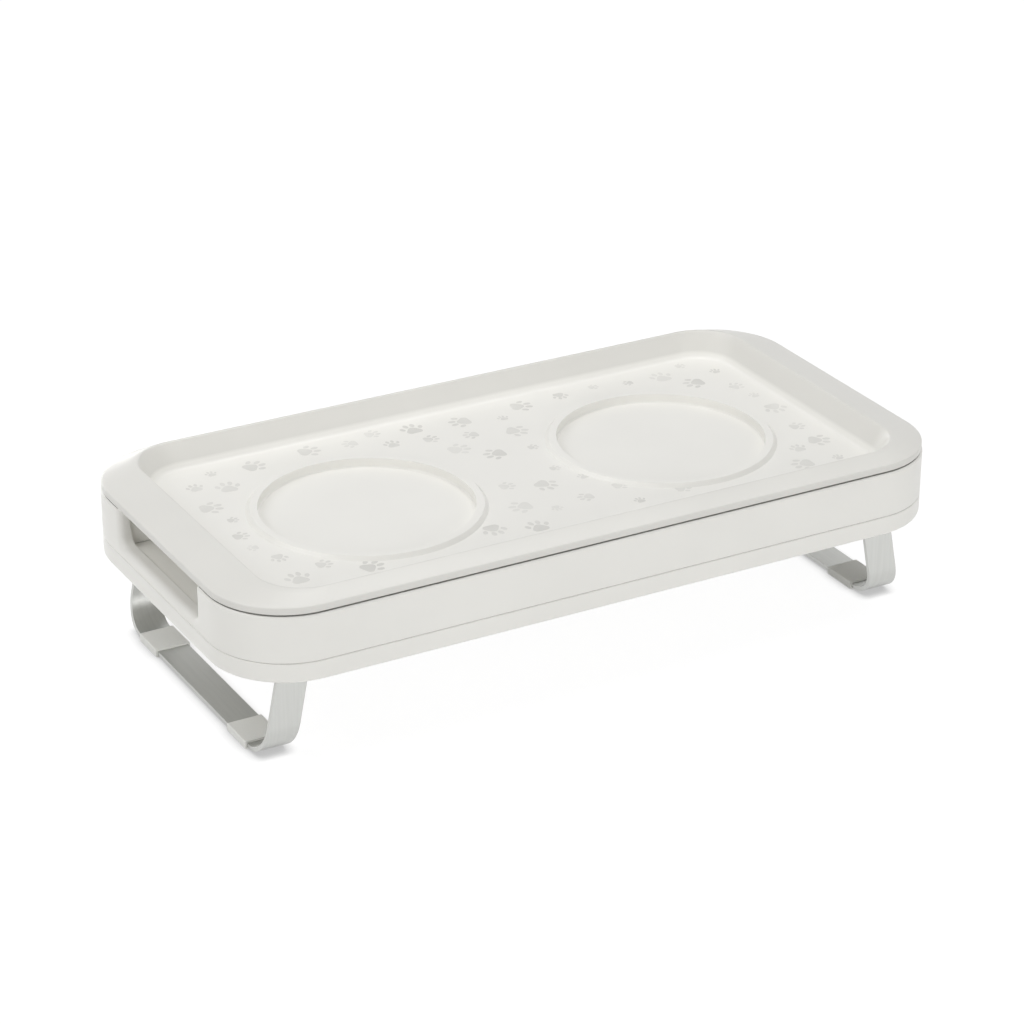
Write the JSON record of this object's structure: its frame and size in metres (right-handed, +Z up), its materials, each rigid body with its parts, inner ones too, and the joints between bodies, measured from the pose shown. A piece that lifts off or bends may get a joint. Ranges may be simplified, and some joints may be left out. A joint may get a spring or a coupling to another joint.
{
  "type": "elevated pet feeder",
  "caption": "Low oblong feeding stand with a lift-off rimmed tray, round bowl seats, open handle notches at both ends and fold-away U-shaped band legs.",
  "frame": {"origin": "on the floor, under the middle of the body", "axes": "+X along the length to the right, +Y from the front to the rear, +Z up"},
  "size_m": [0.48, 0.242, 0.1118],
  "materials": {
    "tray_plastic": "satin moulded plastic",
    "body_plastic": "satin moulded plastic",
    "leg_metal": "satin steel band",
    "foot_silicone": "matt silicone",
    "pin_steel": "turned steel",
    "washer_nylon": "plain nylon",
    "screw_steel": "plated steel"
  },
  "bodies": {
    "base": {"upper_frame": "body_plastic", "base_pan": "body_plastic", "pan_screws": "screw_steel", "left_front_hinge_pin": "pin_steel", "left_front_friction_washer": "washer_nylon", "left_front_pin_clip": "pin_steel", "left_rear_hinge_pin": "pin_steel", "left_rear_friction_washer": "washer_nylon", "left_rear_pin_clip": "pin_steel", "right_front_hinge_pin": "pin_steel", "right_front_friction_washer": "washer_nylon", "right_front_pin_clip": "pin_steel", "right_rear_hinge_pin": "pin_steel", "right_rear_friction_washer": "washer_nylon", "right_rear_pin_clip": "pin_steel"},
    "tray": {"serving_tray": "tray_plastic"},
    "left_leg": {"left_leg_band": "leg_metal", "left_front_foot": "foot_silicone", "left_rear_foot": "foot_silicone"},
    "right_leg": {"right_leg_band": "leg_metal", "right_front_foot": "foot_silicone", "right_rear_foot": "foot_silicone"}
  },
  "joints": [
    {"name": "left_leg_fold", "type": "hinge", "parent": "base", "child": "left_leg", "pos_m": [-0.19748, 0, 0.0713], "axis": [0, -1, 0], "range_deg": [0, 101]},
    {"name": "right_leg_fold", "type": "hinge", "parent": "base", "child": "right_leg", "pos_m": [0.19748, 0, 0.0713], "axis": [0, 1, 0], "range_deg": [0, 101]},
    {"name": "tray_lift", "type": "slide", "parent": "base", "child": "tray", "axis": [0, 0, 1], "range_m": [0, 0.12]}
  ]
}
